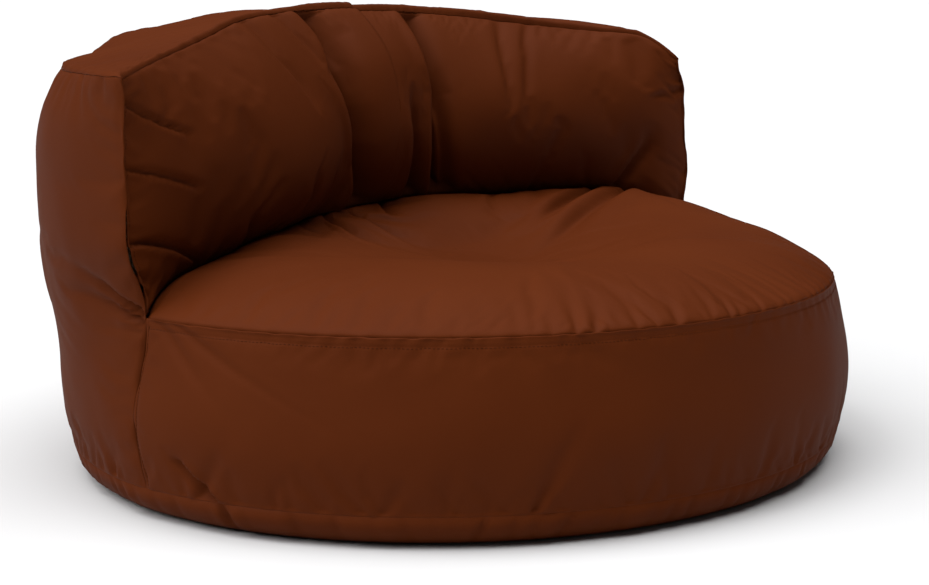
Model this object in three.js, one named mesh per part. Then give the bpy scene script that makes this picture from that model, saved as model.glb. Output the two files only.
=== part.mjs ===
// A round bean bag chair: a low drum of a seat with a crescent-shaped backrest sewn onto its rear half.
// The cover is cut from seven fabric pieces. It holds two bead-filled liners, one in the seat and one in
// the backrest, and each chamber has its own zip at the rear.
// Millimetres, +Z up, -Y towards the sitter's feet. The origin is on the floor under the middle of the chair.
import * as THREE from "three";

// ---- Driving dimensions ----
const HALF_WIDTH = 606; // X, at the widest part of the backrest
const HALF_DEPTH_REAR = 555; // Y, before the wall's own swelling
const HALF_DEPTH_FRONT = 573;
const BASE_SEAM_Z = 44;
const SEAT_SEAM_Z = 266;
const TIP_Z = 566; // both top seams meet here, at the two ends of the backrest
const OUTER_SEAM_Z = 600; // top seam at the back, level over the middle
const SEAT_CROWN = 72; // how far the filled seat rises above its seam
const SEAT_DIP = 62; // how deep a sitter has pressed it
const BASE_FLAT = 0.85; // share of the plan that lies flat on the floor
const CREASE_Y = 175; // where seat and backrest meet, at mid width
const TOP_SEAM_Y = 206; // the inner top seam, at mid width
const BACK_BULGE = 54; // how far the backrest's front swells towards the sitter
const SHOULDER = 130; // height over which the rear wall rounds in below its top seam

// Layers, as depths below the outer face of the cover
const CLOTH = 1.2;
const LINER_OUT = 8;
const LINER_IN = 9;
const FILL = 12.5;
const SEAM_GAP = 0.5;

// Rear zips: each follows a circle round this axis, which hugs the rear wall
const ZIP_AXIS_Y = -101;
const SEAT_ZIP_Z = 54;
const BACK_ZIP_Z = 589;
const SEAT_ZIP_HALF_ANGLE = 0.42;
const BACK_ZIP_HALF_ANGLE = 0.28;
const ZIP_MOUTH = 6.5; // half the height of the opening that shows the coils

const FRONT_STEPS = 16;
const REAR_STEPS = 24;

// ---- Form ----
const lerp = (a, b, u) => a + (b - a) * u;
const shares = (n) => Array.from({ length: n + 1 }, (_, i) => i / n);
const ease = (u) => {
  const c = Math.min(1, Math.max(0, u));
  return c * c * (3 - 2 * c);
};
const bell = (x, width) => Math.exp(-((x / width) ** 2));

// The wall's plan scale by height, in front and at the rear: fullest where the chambers swell.
const FRONT_SWELL = [[-60, 0.935], [125, 0.979], [262, 0.952], [360, 1], [700, 1]];
const REAR_SWELL = [[-60, 0.93], [160, 0.974], [370, 1.014], [700, 1.01]];
function swell(table, z) {
  const i = Math.max(1, table.findIndex(([height]) => height >= z));
  const [[z0, k0], [z1, k1]] = [table[i - 1], table[i]];
  return lerp(k0, k1, ease((z - z0) / (z1 - z0)));
}

// The backrest's outer top seam: level over the middle, then falling to its two ends.
const outerSeamZ = (t) => lerp(TIP_Z, OUTER_SEAM_Z, ease((Math.sin(t) - 0.788) / 0.1575));

function wallScale(t, z) {
  const rear = ease(Math.sin(t) / 0.35);
  const rounded = 0.06 * Math.max(0, 1 - (outerSeamZ(t) - z) / SHOULDER) ** 2;
  return lerp(swell(FRONT_SWELL, z), swell(REAR_SWELL, z) - rounded, rear);
}
const rim = (t) => wallScale(t, SEAT_SEAM_Z);

const halfDepth = (t) => (Math.sin(t) < 0 ? HALF_DEPTH_FRONT : HALF_DEPTH_REAR);
const planX = (t, s) => HALF_WIDTH * s * Math.cos(t);
const planY = (t, s) => halfDepth(t) * s * Math.sin(t);
const inward = (depth) => depth / HALF_WIDTH; // a depth as a share of the plan
const at = (t, s, z) => new THREE.Vector3(planX(t, s), planY(t, s), z);

// Height of the seat's top: a crowned pillow with the sitter's dip in it. The beads pushed aside are
// heaped at the right rear, and lie thinner at the left rear.
function seatTop(t, s) {
  const [x, y] = [planX(t, s), planY(t, s)];
  const share = Math.min(1, s / rim(t));
  const crown = SEAT_CROWN * (1 - share ** 6) + 20 * ease(y / 200) * (1 - share ** 2);
  const dip = SEAT_DIP * Math.exp(-(x * x + (y + 105) ** 2) / (2 * 170 ** 2));
  const heaped = 34 * bell(x - 540, 170) * bell(y - 20, 170) * (1 - share ** 12);
  const rear = (14 * bell(x - 90, 180) - 24 * bell(x + 420, 140)) * ease((y + 80) / 200);
  return SEAT_SEAM_Z + crown - dip + heaped + rear * (1 - share ** 8);
}

// The base's turned-up edge: flat on the floor at v = 0, then rising to the base seam at v = 1.
function baseEdge(t, v, depth = 0) {
  const s = lerp(BASE_FLAT, wallScale(t, BASE_SEAM_Z), v);
  return at(t, s - inward(depth), BASE_SEAM_Z * v * v);
}

// The backrest's front face at level w, 0 at the seat and 1 at the top seam, is an arc between the two
// ends of the backrest. This gives the plan share at which the ray at angle t meets it.
function frontShare(t, w, depth = 0) {
  const tip = HALF_WIDTH * wallScale(0, lerp(SEAT_SEAM_Z, TIP_Z, w));
  const swelling = Math.max(0, Math.sin(Math.PI * w)) ** 0.7;
  const apex = lerp(CREASE_Y, TOP_SEAM_Y, w) - BACK_BULGE * swelling;
  const radius = (tip * tip + apex * apex) / (2 * apex);
  const centreY = apex - radius;
  const [dx, dy] = [planX(t, 1), planY(t, 1)];
  const [a, b, c] = [dx * dx + dy * dy, -dy * centreY, centreY ** 2 - (radius + depth) ** 2];
  return (-b + Math.sqrt(b * b - a * c)) / a;
}

// Height of the inner top seam above the backrest's two ends, by x: it climbs sooner on the sitter's left.
const INNER_SEAM = [
  [-606, 0], [-552, 7], [-477, 18], [-421, 27], [-371, 36], [-326, 46], [-286, 57], [-251, 64], [-190, 70],
  [-116, 74], [-37, 76], [37, 75], [116, 72], [219, 63], [326, 50], [421, 38], [477, 29], [526, 19],
  [560, 12], [606, 0],
];
function innerSeamZ(t) {
  const x = Math.min(606, Math.max(-605.9, planX(t, frontShare(t, 1))));
  const i = INNER_SEAM.findIndex(([place]) => place >= x);
  const [[x0, z0], [x1, z1]] = [INNER_SEAM[i - 1], INNER_SEAM[i]];
  return TIP_Z + lerp(z0, z1, (x - x0) / (x1 - x0));
}

// The crowned panel between the two top seams.
function topPanel(t, v, depth = 0, inset = 0) {
  const [inner, outer] = [frontShare(t, 1, inset), wallScale(t, outerSeamZ(t)) - inward(inset)];
  const crown = 0.22 * HALF_DEPTH_REAR * (outer - inner) * v * (1 - v);
  return at(t, lerp(inner, outer, v), lerp(innerSeamZ(t), outerSeamZ(t), v) + crown - depth);
}
const creaseZ = (t) => seatTop(t, frontShare(t, 0));
const frontFace = (t, w, depth = 0) => at(t, frontShare(t, w, depth), lerp(creaseZ(t), innerSeamZ(t), w));

// ---- Meshes from grids ----
// Plan angles of the rear half, closer together near the two ends of the backrest.
function rearAngles(inset, steps = REAR_STEPS) {
  return shares(steps).map((u) => inset + (Math.PI - 2 * inset) * (u - 0.08 * Math.sin(2 * Math.PI * u)));
}
function frontAngles(inset) {
  return shares(FRONT_STEPS).map((u) => Math.PI + inset + (Math.PI - 2 * inset) * u);
}
const roundAngles = () => [...rearAngles(0).slice(0, -1), ...frontAngles(0).slice(0, -1)];

// Quads of a grid with `columns` points along each of its rows; either way can run round and close.
function gridFaces(rows, columns, { closeRows = false, closeColumns = false, skip = () => false } = {}) {
  const faces = [];
  for (let i = 0; i < rows - (closeRows ? 0 : 1); i++)
    for (let j = 0; j < columns - (closeColumns ? 0 : 1); j++) {
      if (skip(i, j)) continue;
      const [i1, j1] = [(i + 1) % rows, (j + 1) % columns];
      faces.push([i * columns + j, i1 * columns + j, i1 * columns + j1, i * columns + j1]);
    }
  return faces;
}

// A fan from one point to a closed run of others.
const fan = (centre, run) => run.map((p, i) => [centre, p, run[(i + 1) % run.length]]);

function volumeOf(points, triangles) {
  return triangles.reduce((sum, [a, b, c]) => sum + points[a].dot(points[b].clone().cross(points[c])) / 6, 0);
}

// One closed body from points and faces, turned to face outwards.
function body(points, faces) {
  let triangles = faces.flatMap((f) => f.slice(2).map((_, k) => [f[0], f[k + 1], f[k + 2]]));
  if (volumeOf(points, triangles) < 0) triangles = triangles.map(([a, b, c]) => [a, c, b]);
  return new THREE.BufferGeometry().setFromPoints(points).setIndex(triangles.flat());
}

// A sheet: the same faces at two depths, with a wall round every open edge.
function sheet(outer, inner, faces) {
  const n = outer.length;
  const edges = new Map();
  for (const f of faces)
    f.forEach((a, k) => {
      const b = f[(k + 1) % f.length];
      if (!edges.delete(`${b},${a}`)) edges.set(`${a},${b}`, [a, b]);
    });
  const back = faces.map(([a, ...rest]) => [a, ...rest.reverse()].map((p) => p + n)); // same diagonals
  const walls = [...edges.values()].map(([a, b]) => [b, a, a + n, b + n]);
  return body([...outer, ...inner], [...faces, ...back, ...walls]);
}

// A sheet over a grid: surface(row, column, depth) gives its points.
function gridSheet(rows, columns, surface, depths, options) {
  const layer = (depth) => rows.flatMap((r) => columns.map((c) => surface(r, c, depth)));
  return sheet(layer(depths[0]), layer(depths[1]), gridFaces(rows.length, columns.length, options));
}

// ---- Cover ----
function seatTopPanel() {
  const angles = roundAngles();
  const rings = [0.3, 0.55, 0.75, 0.88, 0.95, 1];
  const outline = (t) => (Math.sin(t) > 1e-9 ? Math.min(rim(t), frontShare(t, 0)) : rim(t));
  const edge = (t) => outline(t) - inward(CLOTH + SEAM_GAP);
  const layer = (depth) => [
    ...angles.flatMap((t) => rings.map((v) => at(t, edge(t) * v, seatTop(t, edge(t) * v) - depth))),
    at(0, 0, seatTop(0, 0) - depth),
  ];
  const faces = gridFaces(angles.length, rings.length, { closeRows: true });
  const hub = angles.map((_, i) => i * rings.length).reverse();
  return sheet(layer(0), layer(CLOTH), [...faces, ...fan(angles.length * rings.length, hub)]);
}

function basePanel() {
  const angles = roundAngles();
  const turnUp = [0, 0.5, 0.8, 1];
  const layer = (depth) => [
    ...angles.flatMap((t) => [at(t, 0.45, 0), ...turnUp.map((v) => baseEdge(t, v))]),
    at(0, 0, 0),
  ].map((p) => p.setZ(p.z + depth));
  const rings = turnUp.length + 1;
  const faces = gridFaces(angles.length, rings, { closeRows: true });
  const hub = angles.map((_, i) => i * rings).reverse();
  return sheet(layer(0), layer(CLOTH), [...faces, ...fan(angles.length * rings, hub)]);
}

const wallPoint = (t, z, depth) => at(t, wallScale(t, z) - inward(depth), z);
const WALL_FOOT = BASE_SEAM_Z + CLOTH + SEAM_GAP;
const END_GAP = 0.0006; // radians: half the gap where the two wall panels meet

function frontSidePanel() {
  const surface = (t, v, depth) => wallPoint(t, lerp(WALL_FOOT, SEAT_SEAM_Z - SEAM_GAP, v), depth);
  return gridSheet(frontAngles(END_GAP), shares(5), surface, [0, CLOTH]);
}

// Each zip takes up the rear wall out to this distance from mid width.
const zipReach = (halfAngle) => (HALF_DEPTH_REAR - ZIP_AXIS_Y) * Math.sin(halfAngle) + 10;
const overZip = (t, halfAngle) => (Math.abs(planX(t, 1)) < zipReach(halfAngle) + 1 ? 1 : 0);

// The rear wall's columns, with an extra pair at each end of each zip, where the cloth steps aside.
function wallColumns() {
  const reaches = [SEAT_ZIP_HALF_ANGLE, BACK_ZIP_HALF_ANGLE].map(zipReach);
  const steps = reaches.flatMap((x) => [x, x + 5]).map((x) => Math.acos(x / HALF_WIDTH));
  return [...rearAngles(END_GAP), ...steps, ...steps.map((t) => Math.PI - t)].sort((a, b) => a - b);
}

function outerBackPanel() {
  const surface = (t, v, depth) => {
    const foot = lerp(WALL_FOOT, SEAT_ZIP_Z + ZIP_MOUTH, overZip(t, SEAT_ZIP_HALF_ANGLE));
    const head = lerp(outerSeamZ(t) - SEAM_GAP, BACK_ZIP_Z - ZIP_MOUTH, overZip(t, BACK_ZIP_HALF_ANGLE));
    return wallPoint(t, lerp(foot, head, v), depth);
  };
  const rows = shares(9).map((v) => v + 0.06 * Math.sin(2 * Math.PI * v) * v); // closer together at the top
  return gridSheet(wallColumns(), rows, surface, [0, CLOTH]);
}

function backrestFrontPanel() {
  const surface = (t, w, depth) => {
    const point = frontFace(t, w, depth);
    point.z += lerp(1.5, -CLOTH - 1.3, w); // clear of the seat and of the top panel
    return point;
  };
  return gridSheet(rearAngles(0.008), shares(6), surface, [0, CLOTH]);
}

function backrestTopPanel() {
  const surface = (t, v, depth) => {
    const point = topPanel(t, v, depth);
    const drawnIn = 1 - inward(3) * v; // clear of the outer wall and the zip under it
    return point.multiply(new THREE.Vector3(drawnIn, drawnIn, 1));
  };
  return gridSheet(rearAngles(0.02), shares(4), surface, [0, CLOTH]);
}

// The sheet inside the cover that parts the two chambers.
function chamberDivider() {
  const surface = (t, v, depth) => {
    const inner = frontShare(t, 0) + inward(2.5);
    const s = lerp(inner, rim(t) - inward(CLOTH + 1.5), v);
    return at(t, s, seatTop(t, s) - depth);
  };
  return gridSheet(rearAngles(0.03), [0, 0.4, 0.7, 0.88, 1], surface, [0, CLOTH]);
}

// ---- Liners and filling ----
// The seat chamber's skin at a depth, as rings from the floor up, with a pole at each end.
function seatChamber(depth) {
  const wall = [60, 110, 165, 215, 250].map((z) => (t) => wallPoint(t, z, depth));
  const floor = [
    (t) => at(t, 0.5, depth),
    ...[0, 0.65].map((v) => (t) => baseEdge(t, v, depth).add(new THREE.Vector3(0, 0, depth))),
  ];
  const top = [0.95, 0.84, 0.65, 0.44, 0.2].map((v) => (t) => {
    const s = rim(t) * v;
    return at(t, s, seatTop(t, s) - depth);
  });
  const rings = [...floor, ...wall, ...top];
  const points = roundAngles().flatMap((t) => rings.map((ring) => ring(t)));
  return [...points, at(0, 0, depth), at(0, 0, seatTop(0, 0) - depth)];
}
const SEAT_RINGS = 13;
const MOUTH_ROWS = [REAR_STEPS / 2 - 3, REAR_STEPS / 2 + 2]; // cells of a liner left open for filling
const inMouth = (i, j, column) => j === column && i >= MOUTH_ROWS[0] && i <= MOUTH_ROWS[1];

function seatChamberFaces(openMouth) {
  const count = roundAngles().length;
  const skip = (i, j) => openMouth && inMouth(i, j, 4);
  const faces = gridFaces(count, SEAT_RINGS, { closeRows: true, skip });
  const first = Array.from({ length: count }, (_, i) => i * SEAT_RINGS);
  const last = first.map((p) => p + SEAT_RINGS - 1);
  return [...faces, ...fan(count * SEAT_RINGS, first.reverse()), ...fan(count * SEAT_RINGS + 1, last)];
}

// The backrest chamber's skin at a depth: at each angle a closed loop over its floor, up the wall,
// over the top and down the front.
const BACK_TIP_ANGLE = 0.1;
const BACK_LOOP = 15;
function backLoop(t, depth) {
  const inner = (w) => {
    const z = lerp(seatTop(t, frontShare(t, 0, depth)) + 1.4 * depth, innerSeamZ(t) - depth, w);
    return at(t, frontShare(t, w, depth), z);
  };
  const foot = seatTop(t, rim(t)) + 1.4 * depth;
  const outer = [0, 0.2, 0.45, 0.7, 1].map((v) => {
    const z = lerp(foot, outerSeamZ(t) - 2 * depth, v);
    return wallPoint(t, z, depth);
  });
  const floor = [0.25, 0.5, 0.75].map((v) => {
    const s = lerp(frontShare(t, 0, depth), rim(t) - inward(depth), v);
    return at(t, s, seatTop(t, s) + 1.4 * depth);
  });
  const top = [0.9, 0.6, 0.3].map((v) => topPanel(t, v, 1.2 * depth, depth));
  return [...floor, ...outer, ...top, inner(1), inner(0.7), inner(0.35), inner(0)];
}
const backAngles = (depth) => rearAngles(BACK_TIP_ANGLE + 4 * inward(depth - LINER_OUT));
function backChamber(depth) {
  const angles = backAngles(depth);
  const middle = (loop) => loop.reduce((sum, p) => sum.add(p), new THREE.Vector3()).divideScalar(BACK_LOOP);
  const loops = angles.map((t) => backLoop(t, depth));
  return [...loops.flat(), middle(loops[0]), middle(loops.at(-1))];
}
function backChamberFaces(openMouth) {
  const count = REAR_STEPS + 1;
  const skip = (i, j) => openMouth && inMouth(i, j, 5);
  const faces = gridFaces(count, BACK_LOOP, { closeColumns: true, skip });
  const first = Array.from({ length: BACK_LOOP }, (_, j) => j);
  const last = first.map((j) => (count - 1) * BACK_LOOP + j).reverse();
  return [...faces, ...fan(count * BACK_LOOP, first), ...fan(count * BACK_LOOP + 1, last)];
}

// A closing strip that fills a liner's mouth, a little smaller than it all round. anglesAt and loopAt give
// the liner's columns and its skin; the strip lies between two neighbouring points of that skin.
function mouthStrip(anglesAt, loopAt, column) {
  const [first, last] = [MOUTH_ROWS[0], MOUTH_ROWS[1] + 1];
  const { clamp } = THREE.MathUtils;
  const rows = shares(last - first).map((u) => clamp(lerp(first, last, u), first + 0.1, last - 0.1));
  const surface = (row, v, depth) => {
    const i = Math.min(last - 1, Math.floor(row + 1e-6));
    const angles = anglesAt(depth);
    const [a, b] = [loopAt(angles[i], depth), loopAt(angles[i + 1], depth)];
    const along = (loop) => loop[column].clone().lerp(loop[column + 1], v);
    return along(a).lerp(along(b), row - i);
  };
  return gridSheet(rows, [0.08, 0.92], surface, [LINER_OUT, LINER_IN]);
}
const seatWall = (t, depth) => [110, 165].map((z) => wallPoint(t, z, depth));
const seatStrip = () => mouthStrip(() => rearAngles(0), seatWall, 0);
const backStrip = () => mouthStrip(backAngles, backLoop, 5);

// ---- Zips ----
// Sweeps a closed section round the zip axis. Each section point is [height, depth below the cover].
function zipSweep(section, z, fromAngle, toAngle, steps) {
  const angles = shares(steps).map((u) => lerp(fromAngle, toAngle, u));
  const points = angles.flatMap((a) =>
    section.map(([height, depth]) => {
      const r = wallScale(Math.PI / 2, z + height) * HALF_DEPTH_REAR - ZIP_AXIS_Y - depth;
      return new THREE.Vector3(r * Math.sin(a), ZIP_AXIS_Y + r * Math.cos(a), z + height);
    }),
  );
  const n = section.length;
  const flat = section.map(([height, depth]) => new THREE.Vector2(height, depth));
  const cap = THREE.ShapeUtils.triangulateShape(flat, []);
  const faces = gridFaces(angles.length, n, { closeColumns: true });
  const ends = cap.flatMap(([a, b, c]) => [[c, b, a], [a, b, c].map((p) => p + n * steps)]);
  const turned = THREE.ShapeUtils.area(flat) > 0 ? ends.map((f) => [...f].reverse()) : ends;
  return body(points, [...faces, ...turned]);
}

// Half a zip: a tape behind the cloth with its row of coils in the opening. `side` is +1 above, -1 below.
function zipTape(z, halfAngle, side, width) {
  const section = [[0.25, 1.6], [2.6, 1.6], [2.6, 4.9], [width, 4.9], [width, 5.8], [0.25, 5.8]];
  const placed = section.map(([height, depth]) => [height * side, depth]);
  return zipSweep(placed, z, -halfAngle, halfAngle, 14);
}

// The slider: a plate with two flanges that straddle the coils, tapered at the nose.
const SLIDER_HALF_ANGLE = 0.014;
function zipSlider(z, angle) {
  const section = [
    [-5.2, -1.2], [-3.6, -2.6], [3.6, -2.6], [5.2, -1.2], [5.2, 3.6], [3.3, 3.6],
    [3.3, 0.9], [-3.3, 0.9], [-3.3, 3.6], [-5.2, 3.6],
  ];
  return zipSweep(section, z, angle - SLIDER_HALF_ANGLE, angle + SLIDER_HALF_ANGLE, 3);
}

// A metal stop clamped at one end of the coils.
function zipStop(z, halfAngle, end) {
  const section = [[-3.2, 1], [3.2, 1], [3.2, 4.6], [-3.2, 4.6]];
  return zipSweep(section, z, end * (halfAngle + 0.001), end * (halfAngle + 0.006), 1);
}

// ---- Assembly ----
const brown = new THREE.MeshStandardMaterial({ color: 0x5a2c18, roughness: 0.6, metalness: 0 });
const liningCloth = new THREE.MeshStandardMaterial({ color: 0xe6e2d8, roughness: 0.9, metalness: 0 });
const beads = new THREE.MeshStandardMaterial({ color: 0xf7f7f5, roughness: 0.8, metalness: 0 });
const tapeCloth = new THREE.MeshStandardMaterial({ color: 0x2e160d, roughness: 0.8, metalness: 0 });
const zinc = new THREE.MeshStandardMaterial({ color: 0x3a2a22, roughness: 0.35, metalness: 0.8 });

const chair = new THREE.Group();
function add(name, geometry, material) {
  const mesh = new THREE.Mesh(geometry, material);
  mesh.name = name;
  chair.add(mesh);
}

add("seat_top_panel", seatTopPanel(), brown);
add("front_side_panel", frontSidePanel(), brown);
add("outer_back_panel", outerBackPanel(), brown);
add("backrest_front_panel", backrestFrontPanel(), brown);
add("backrest_top_panel", backrestTopPanel(), brown);
add("base_panel", basePanel(), brown);
add("chamber_divider", chamberDivider(), liningCloth);

const linerOf = (chamber, faces) => sheet(chamber(LINER_OUT), chamber(LINER_IN), faces(true));
add("seat_liner", linerOf(seatChamber, seatChamberFaces), liningCloth);
add("seat_liner_closure", seatStrip(), liningCloth);
add("seat_bead_fill", body(seatChamber(FILL), seatChamberFaces(false)), beads);
add("backrest_liner", linerOf(backChamber, backChamberFaces), liningCloth);
add("backrest_liner_closure", backStrip(), liningCloth);
add("backrest_bead_fill", body(backChamber(FILL), backChamberFaces(false)), beads);

for (const [zip, z, halfAngle, below, above] of [
  ["seat_zip", SEAT_ZIP_Z, SEAT_ZIP_HALF_ANGLE, 8, 13],
  ["backrest_zip", BACK_ZIP_Z, BACK_ZIP_HALF_ANGLE, 13, 8],
]) {
  const closedEnd = halfAngle - SLIDER_HALF_ANGLE - 0.001;
  add(`${zip}_upper_tape`, zipTape(z, halfAngle, 1, above), tapeCloth);
  add(`${zip}_lower_tape`, zipTape(z, halfAngle, -1, below), tapeCloth);
  add(`${zip}_slider`, zipSlider(z, closedEnd), zinc);
  add(`${zip}_closed_stop`, zipStop(z, halfAngle, 1), zinc);
  add(`${zip}_open_stop`, zipStop(z, halfAngle, -1), zinc);
}

export default chair;
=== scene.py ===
"""A round bean bag chair: the sewn cover in six panels with their folds, puckers and stitching, two zips at
the rear, and the bead-filled liners inside. Metres, +Z up; the chair faces -Y and stands on z = 0."""
import math

import bmesh
import bpy
import numpy as np
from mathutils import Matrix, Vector
from mathutils.kdtree import KDTree


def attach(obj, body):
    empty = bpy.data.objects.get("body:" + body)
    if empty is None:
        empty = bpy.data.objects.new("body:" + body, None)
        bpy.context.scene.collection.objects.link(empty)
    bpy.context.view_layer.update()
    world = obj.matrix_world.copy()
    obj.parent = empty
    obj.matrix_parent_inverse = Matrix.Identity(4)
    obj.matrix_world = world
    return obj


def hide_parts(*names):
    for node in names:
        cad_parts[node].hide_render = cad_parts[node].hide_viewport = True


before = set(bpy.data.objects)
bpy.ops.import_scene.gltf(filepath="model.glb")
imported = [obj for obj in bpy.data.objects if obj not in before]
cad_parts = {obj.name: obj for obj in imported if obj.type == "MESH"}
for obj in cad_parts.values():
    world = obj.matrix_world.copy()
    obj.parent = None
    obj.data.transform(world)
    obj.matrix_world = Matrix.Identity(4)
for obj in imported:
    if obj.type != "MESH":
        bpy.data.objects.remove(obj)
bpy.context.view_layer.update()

# ---- Dimensions, close to the frame's ----
HALF_WIDTH = 0.606
DEPTH_REAR, DEPTH_FRONT = 0.555, 0.573
BASE_Z, RIM_Z, TIP_Z = 0.044, 0.266, 0.566  # base seam, seat rim seam, ends of the backrest's top seams
OUTER_Z = 0.600  # the backrest's outer top seam at mid width
ARC = 0.58  # metres round the rim for each radian, about
# The wall's plan scale at a few heights: (height, scale)
FRONT_SWELL = [(-0.06, 0.935), (0.125, 0.979), (0.262, 0.952), (0.36, 1.0), (0.7, 1.0)]
REAR_SWELL = [(-0.06, 0.93), (0.16, 0.974), (0.37, 1.014), (0.7, 1.01)]
SHOULDER = 0.125  # height over which the rear wall rounds in to its top seam
BASE_FLAT = 0.872  # share of the base that lies flat
CREASE_Y, TOP_SEAM_Y, BACK_BULGE = 0.175, 0.206, 0.054
ZIP_AXIS_Y = -0.101
SEAT_ZIP = {"z": 0.054, "half": 0.42, "name": "seat_zip", "below": 0.0102, "above": 0.013}
BACK_ZIP = {"z": 0.589, "half": 0.28, "name": "backrest_zip", "below": 0.013, "above": 0.0102}
ZIP_MOUTH = 0.0065  # from a zip's middle to the edge of the cloth beside it
TAPE_TAIL = 0.045  # how far, as an angle, a zip's tapes run on past its end stops
CLOTH = 0.0011
PI = math.pi


# ---- Small helpers ----
def lerp(a, b, u):
    return a + (b - a) * u


def ease(u):
    u = np.clip(u, 0, 1)
    return u * u * (3 - 2 * u)


def bell(x, width):
    return np.exp(-((x / width) ** 2))


def wave(x, seed, pitch):
    """Smooth noise along a line, about -1 to 1, with bumps about pitch apart."""
    rng = np.random.default_rng(seed)
    total = 0
    for octave in range(3):
        k = 2 * PI / pitch * (1 + 0.9 * octave) * rng.uniform(0.8, 1.2)
        total = total + np.sin(k * x + rng.uniform(0, 2 * PI)) / (1 + octave)
    return total / 1.8


def ripple(x, y, seed, pitch):
    """Smooth noise over a surface, about -1 to 1, with bumps about pitch apart and no common direction."""
    rng = np.random.default_rng(seed)
    turn = rng.uniform(0, PI)
    total = 0
    for i in range(7):
        angle, k = turn + i * PI / 7 + rng.uniform(-0.15, 0.15), 2 * PI / (pitch * rng.uniform(0.65, 1.6))
        total = total + np.sin(k * (x * math.cos(angle) + y * math.sin(angle)) + rng.uniform(0, 2 * PI))
    return total / 3.2


def curve(x, table, soft):
    """Straight lines through the (x, value) rows of a table, with their corners rounded over a distance."""
    places, values = zip(*table)
    return sum(np.interp(x + soft * k / 4, places, values) for k in range(-4, 5)) / 9


def unit(v):
    return v / np.maximum(np.linalg.norm(v, axis=-1, keepdims=True), 1e-12)


# ---- Form: the frame's surfaces, made as uneven as the real chair's ----
def swell(table, z):
    out = np.full(np.shape(z), table[0][1])
    for (z0, k0), (z1, k1) in zip(table, table[1:]):
        out = np.where(z >= z0, lerp(k0, k1, ease((z - z0) / (z1 - z0))), out)
    return out


def outer_seam_z(t):
    return lerp(TIP_Z, OUTER_Z, ease((np.sin(t) - 0.788) / 0.1575)) + 0.004 * bell(t - PI, 0.3)


def wall(t, z):
    """The wall's plan scale at an angle and a height."""
    rear = ease(np.sin(t) / 0.35)
    rounded = 0.06 * np.maximum(0, 1 - (outer_seam_z(t) - z) / SHOULDER) ** 2
    return lerp(swell(FRONT_SWELL, z), swell(REAR_SWELL, z) - rounded, rear)


def rim(t):
    return wall(t, RIM_Z)


def plan(t, s):
    depth = np.where(np.sin(t) < 0, DEPTH_FRONT, DEPTH_REAR)
    return HALF_WIDTH * s * np.cos(t), depth * s * np.sin(t)


def at(t, s, z):
    x, y = plan(t, s)
    return np.stack(np.broadcast_arrays(x, y, z), axis=-1)


def seat_height(t, s):
    x, y = plan(t, s)
    share = np.minimum(1, s / rim(t))
    crown = 0.072 * (1 - share**6) + 0.020 * ease(y / 0.2) * (1 - share**2)
    dip = 0.062 * np.exp(-(x * x + (y + 0.105) ** 2) / (2 * 0.17**2))
    # Beads pushed aside by the sitter: heaped at the right rear, thinner at the left rear.
    heaped = 0.034 * bell(x - 0.54, 0.17) * bell(y - 0.02, 0.17) * (1 - share**18)
    rear = 0.014 * bell(x - 0.09, 0.18) - 0.024 * bell(x + 0.42, 0.14)
    return RIM_Z + crown - dip + heaped + rear * ease((y + 0.08) / 0.2) * (1 - share**8)


def front_share(t, w):
    """Plan share at which the ray at angle t meets the backrest's front, at level w from foot to seam."""
    tip = HALF_WIDTH * wall(0.0, lerp(RIM_Z, TIP_Z, w))
    apex = lerp(CREASE_Y, TOP_SEAM_Y, w) - BACK_BULGE * np.maximum(0, np.sin(PI * w)) ** 0.7
    radius = (tip * tip + apex * apex) / (2 * apex)
    centre = apex - radius
    dx, dy = plan(t, 1)
    a, b, c = dx * dx + dy * dy, -dy * centre, centre**2 - radius**2
    ends = 0.072 * bell(t - 2.66, 0.33) + 0.020 * bell(t - 0.56, 0.30)  # both ends swell out low down
    return (-b + np.sqrt(b * b - a * c)) / a - ends * bell(w - 0.18, 0.36)


def leaned(points):
    """The chair's right side: the backrest's end leans in and is rounded at its top corner, and the rim seam
    in front of it is drawn in."""
    x, z = points[..., 0], points[..., 2]
    angle = np.arctan2(points[..., 1], x)
    drawn_in = 0.007 * bell(z - 0.28, 0.04) * bell(angle + 0.75, 0.40)
    lean = 0.020 + 0.024 * ease((z - 0.33) / 0.22) + 0.008 * bell(z - 0.42, 0.08)
    lean = lean * ease((z - 0.27) / 0.06) + 0.007 * bell(z - 0.335, 0.04)
    lean = lean * ease((x - 0.30) / 0.28)
    corner = 0.018 * ease((x - 0.52) / 0.09) * ease((z - 0.50) / 0.07)
    out = points.copy()
    out[..., 0] -= lean + corner + drawn_in * np.cos(angle)
    out[..., 1] -= drawn_in * np.sin(angle)
    out[..., 2] -= 0.8 * corner
    return out


INNER_SEAM = [(-0.606, 0.0), (-0.552, 0.007), (-0.477, 0.018), (-0.421, 0.027), (-0.371, 0.036),
              (-0.326, 0.046), (-0.286, 0.057), (-0.251, 0.064), (-0.19, 0.070), (-0.116, 0.074),
              (-0.037, 0.076), (0.037, 0.075), (0.116, 0.072), (0.219, 0.063), (0.326, 0.050),
              (0.421, 0.041), (0.477, 0.037), (0.526, 0.034), (0.56, 0.031), (0.585, 0.022),
              (0.606, 0.0)]  # (x, height above the tips)


def inner_seam_z(t):
    x = plan(t, front_share(t, 1.0))[0]
    tips, end = outer_seam_z(np.where(x < 0, PI, 0.0)), curve(HALF_WIDTH, INNER_SEAM, 0.012)
    return tips + curve(x, INNER_SEAM, 0.012) - end


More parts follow.
